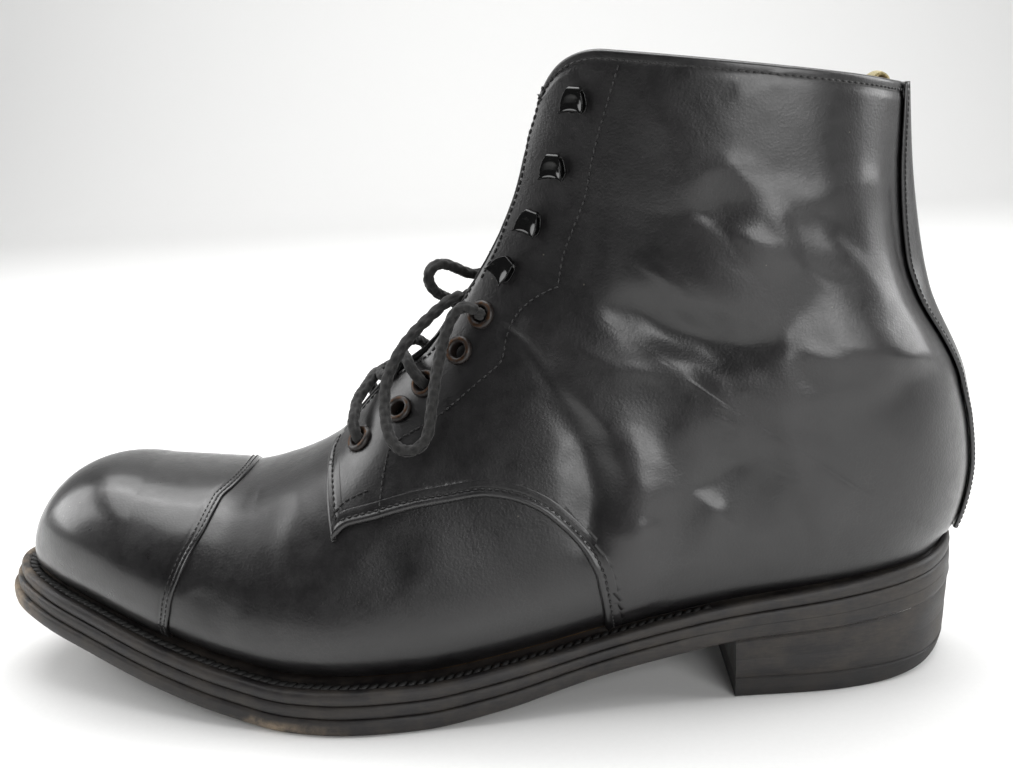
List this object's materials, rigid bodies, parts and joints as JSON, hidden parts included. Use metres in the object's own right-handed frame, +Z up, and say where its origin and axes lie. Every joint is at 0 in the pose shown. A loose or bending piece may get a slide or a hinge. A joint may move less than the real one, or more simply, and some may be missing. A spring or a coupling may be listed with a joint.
{
  "type": "dress ankle boot",
  "caption": "Black leather lace-up ankle boot for the left foot, with a toe cap, hooks above the eyelets, a welted leather sole and a stacked heel.",
  "frame": {"origin": "under the middle of the boot's box, on the plane that heel and forefoot stand on", "axes": "-X towards the toe, +X towards the back of the heel, -Y to the outer (lateral) side, +Z up"},
  "size_m": [0.315, 0.1062, 0.1894],
  "materials": {
    "upper_leather": "polished black calf, worn and creased",
    "sole_leather": "black edge dressing on sole leather, satin and scuffed",
    "insole_leather": "undyed tan leather",
    "heel_rubber": "matt black",
    "loop_cotton": "undyed woven cotton tape",
    "eyelet_metal": "dark japanned metal with worn rims",
    "hook_enamel": "glossy black enamel",
    "lace_cotton": "black braided cotton"
  },
  "bodies": {
    "root": {"outsole": "sole_leather", "midsole": "sole_leather", "welt": "sole_leather", "insole": "insole_leather", "heel_lift_1": "sole_leather", "heel_lift_2": "sole_leather", "heel_top_piece": "heel_rubber", "upper": "upper_leather", "tongue": "upper_leather", "back_strip": "upper_leather", "pull_loop": "loop_cotton", "eyelet_lateral_1": "eyelet_metal", "eyelet_lateral_2": "eyelet_metal", "eyelet_lateral_3": "eyelet_metal", "eyelet_lateral_4": "eyelet_metal", "eyelet_lateral_5": "eyelet_metal", "eyelet_medial_1": "eyelet_metal", "eyelet_medial_2": "eyelet_metal", "eyelet_medial_3": "eyelet_metal", "eyelet_medial_4": "eyelet_metal", "eyelet_medial_5": "eyelet_metal", "hook_lateral_1": "hook_enamel", "hook_lateral_2": "hook_enamel", "hook_lateral_3": "hook_enamel", "hook_lateral_4": "hook_enamel", "hook_medial_1": "hook_enamel", "hook_medial_2": "hook_enamel", "hook_medial_3": "hook_enamel", "hook_medial_4": "hook_enamel", "lace_crossings": "lace_cotton", "lace_loop_lateral": "lace_cotton", "lace_loop_medial": "lace_cotton"}
  },
  "joints": []
}
